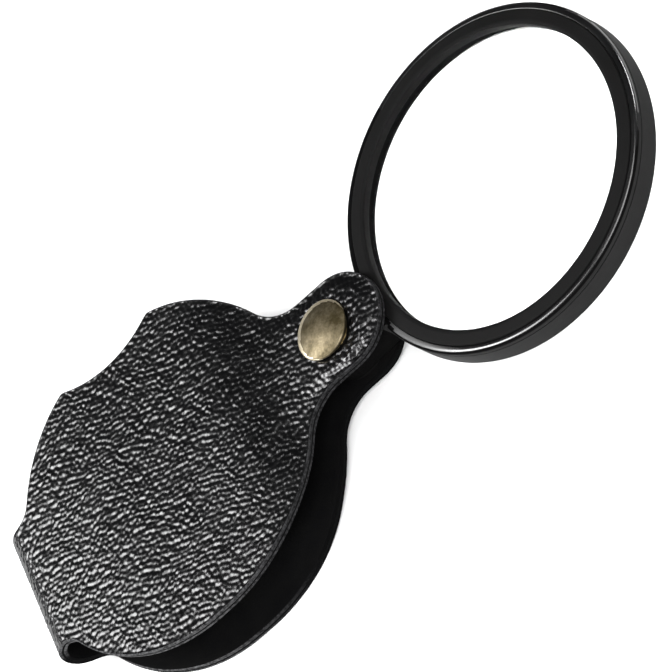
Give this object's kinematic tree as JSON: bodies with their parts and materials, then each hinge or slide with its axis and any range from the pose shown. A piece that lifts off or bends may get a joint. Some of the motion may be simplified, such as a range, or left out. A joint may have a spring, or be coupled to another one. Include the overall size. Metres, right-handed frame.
{
  "type": "folding pocket magnifying glass",
  "caption": "Folding pocket magnifying glass: a round lens in a black ring that swings on a brass rivet out of a folded leather sleeve.",
  "frame": {"origin": "centre of the whole object's box in X and Y, at its lowest point, with the lens frame swung out to where the picture shows it", "axes": "+X runs from the sleeve's fold through the rivet towards the lens, +Z comes out of the front leaf along the rivet, and the thumb notch is on the +Y side"},
  "size_m": [0.1402, 0.0638, 0.0133],
  "materials": {
    "leather": "black pebble grain, semi-gloss",
    "lining": "matte black",
    "antique_brass": "antiqued, satin",
    "plain_brass": "plain",
    "washer_plastic": "matte",
    "frame_plastic": "satin black, moulded",
    "retainer_plastic": "satin black, moulded",
    "lens_glass": "clear, polished"
  },
  "bodies": {
    "sleeve": {"sleeve_leather": "leather", "sleeve_lining": "lining", "rivet_front_cap": "antique_brass", "rivet_socket": "plain_brass", "rivet_back_cap": "antique_brass", "rivet_post": "plain_brass", "front_washer": "washer_plastic", "back_washer": "washer_plastic"},
    "lens_group": {"lens_frame": "frame_plastic", "retaining_ring": "retainer_plastic", "lens": "lens_glass"}
  },
  "joints": [
    {"name": "lens_swing", "type": "hinge", "parent": "sleeve", "child": "lens_group", "pos_m": [0.00271, -0.0017, 0.0063], "axis": [0, 0, 1], "continuous": true}
  ]
}
